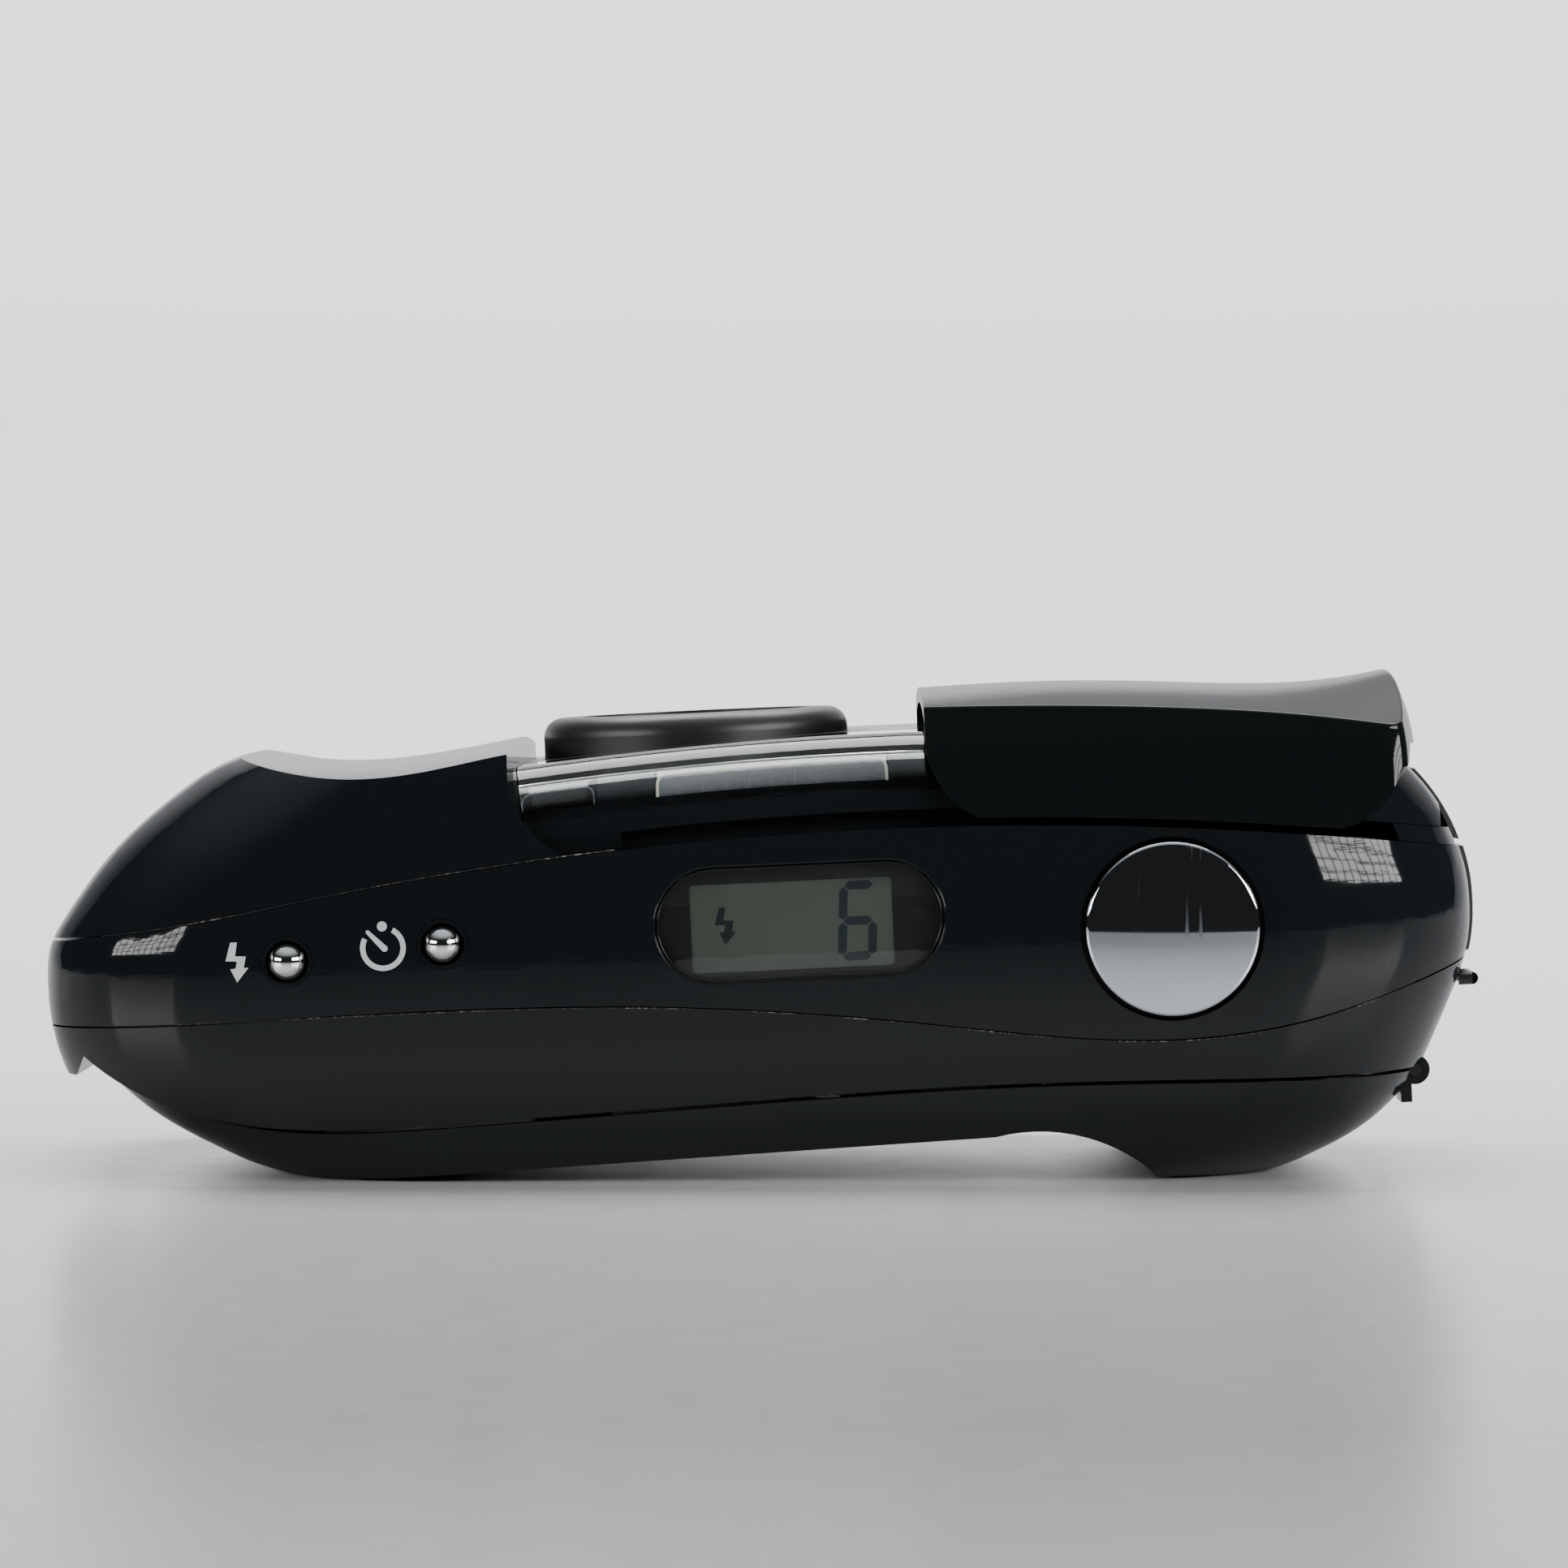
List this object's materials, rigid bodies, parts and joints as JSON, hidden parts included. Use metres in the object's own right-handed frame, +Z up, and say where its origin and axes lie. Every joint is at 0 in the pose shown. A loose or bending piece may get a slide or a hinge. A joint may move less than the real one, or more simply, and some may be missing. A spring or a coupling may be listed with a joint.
{
  "type": "compact film camera",
  "caption": "Compact film camera lying on its back, with an open sliding front cover, zoom lens, hinged film door and top controls.",
  "frame": {"origin": "centre of the footprint, on the surface the camera lies on", "axes": "+X to the user's right along the body, -Y out of the top plate, +Z up, out of the front of the camera"},
  "size_m": [0.1152, 0.0612, 0.0406],
  "materials": {
    "gloss_shell": "moulded gloss black",
    "gloss_cover": "moulded gloss black",
    "clear_window": "clear gloss",
    "flash_glass": "ribbed clear",
    "lens_glass": "coated",
    "satin_black": "satin black",
    "inner_black": "matt black",
    "chrome": "polished",
    "lcd_panel": "grey-green display",
    "steel": "bright",
    "reflector": "polished",
    "board": "green board",
    "brass": "turned",
    "grey_trim": "grained grey-brown"
  },
  "bodies": {
    "body": {"front_shell": "gloss_shell", "window_panel": "clear_window", "lens_collar": "satin_black", "top_belt": "gloss_shell", "rear_shell": "gloss_shell", "chassis": "inner_black", "lens_mount": "inner_black", "flash_window": "flash_glass", "flash_reflector": "reflector", "flash_tube": "flash_glass", "finder_objective": "clear_window", "finder_housing": "inner_black", "finder_eyepiece": "clear_window", "lcd_window": "clear_window", "lcd_display": "lcd_panel", "circuit_board": "board", "switch_posts": "inner_black", "flash_button_bezel": "satin_black", "timer_button_bezel": "satin_black", "flash_capacitor": "inner_black", "film_motor": "steel", "battery": "steel", "battery_contact": "brass", "battery_door_pin": "steel", "door_hinge_pin": "steel", "tripod_socket": "brass", "right_trim": "grey_trim", "front_trim": "grey_trim", "strap_lug": "steel"},
    "cover": {"sliding_cover": "gloss_cover"},
    "lens_carrier": {"drive_barrel": "inner_black"},
    "outer_lens": {"outer_barrel": "satin_black"},
    "inner_lens": {"inner_barrel": "inner_black", "front_lens": "lens_glass", "rear_lens": "lens_glass", "shutter_unit": "inner_black"},
    "shutter_release": {"shutter_button": "chrome"},
    "flash_key": {"flash_button": "chrome"},
    "timer_key": {"timer_button": "chrome"},
    "door": {"back_door": "gloss_shell", "rocker_bracket": "inner_black", "pressure_plate": "steel", "pressure_spring": "steel", "eyepiece_window": "clear_window", "film_window": "clear_window"},
    "rocker": {"zoom_rocker": "satin_black"},
    "latch": {"door_latch": "satin_black"},
    "battery_lid": {"battery_door": "gloss_shell"},
    "spool": {"film_spool": "inner_black"},
    "fork": {"rewind_fork": "inner_black"},
    "sprocket": {"film_sprocket": "inner_black"}
  },
  "joints": [
    {"name": "cover_slide", "type": "hinge", "parent": "body", "child": "cover", "pos_m": [0.02283, 0.00057, -0.2568], "axis": [0, 1, 0], "range_deg": [-6.3, 0]},
    {"name": "lens_park", "type": "slide", "parent": "body", "child": "lens_carrier", "axis": [-0.0462, 0, 0.9989], "range_m": [-0.002, 0]},
    {"name": "zoom_outer", "type": "slide", "parent": "lens_carrier", "child": "outer_lens", "axis": [-0.0462, 0, 0.9989], "range_m": [0, 0.009]},
    {"name": "zoom_inner", "type": "slide", "parent": "outer_lens", "child": "inner_lens", "axis": [-0.0462, 0, 0.9989], "range_m": [0, 0.007]},
    {"name": "shutter_press", "type": "slide", "parent": "body", "child": "shutter_release", "axis": [0, 1, 0], "range_m": [0, 0.0008], "stiffness_N_per_m": 1500},
    {"name": "flash_press", "type": "slide", "parent": "body", "child": "flash_key", "axis": [0, 1, 0], "range_m": [0, 0.0005], "stiffness_N_per_m": 1500},
    {"name": "timer_press", "type": "slide", "parent": "body", "child": "timer_key", "axis": [0, 1, 0], "range_m": [0, 0.0005], "stiffness_N_per_m": 1500},
    {"name": "door_hinge", "type": "hinge", "parent": "body", "child": "door", "pos_m": [0.05261, 0.00057, 0.00816], "axis": [0, -1, 0], "range_deg": [0, 95]},
    {"name": "rocker_tilt", "type": "hinge", "parent": "door", "child": "rocker", "pos_m": [0.02074, -0.00843, 0.00478], "axis": [0, 1, 0], "range_deg": [-4, 4], "stiffness_Nm_per_rad": 0.05},
    {"name": "latch_slide", "type": "slide", "parent": "body", "child": "latch", "axis": [0, 1, 0], "range_m": [0, 0.004], "stiffness_N_per_m": 200},
    {"name": "battery_door_hinge", "type": "hinge", "parent": "body", "child": "battery_lid", "pos_m": [0.0456, 0.0299, 0.01054], "axis": [-0.9989, 0, -0.0462], "range_deg": [0, 90]},
    {"name": "spool_spin", "type": "hinge", "parent": "body", "child": "spool", "pos_m": [0.02441, 0.00057, 0.01846], "axis": [0, 1, 0], "continuous": true},
    {"name": "fork_spin", "type": "hinge", "parent": "body", "child": "fork", "pos_m": [-0.03833, 0.00057, 0.01576], "axis": [0, 1, 0], "continuous": true},
    {"name": "sprocket_spin", "type": "hinge", "parent": "body", "child": "sprocket", "pos_m": [0.00866, 0.01557, 0.01263], "axis": [0, 1, 0], "continuous": true}
  ],
  "couplings": [
    {"joint": "lens_park", "follows": "cover_slide", "m_per_rad": 0.018187},
    {"joint": "zoom_inner", "follows": "zoom_outer", "ratio": 0.77778}
  ]
}
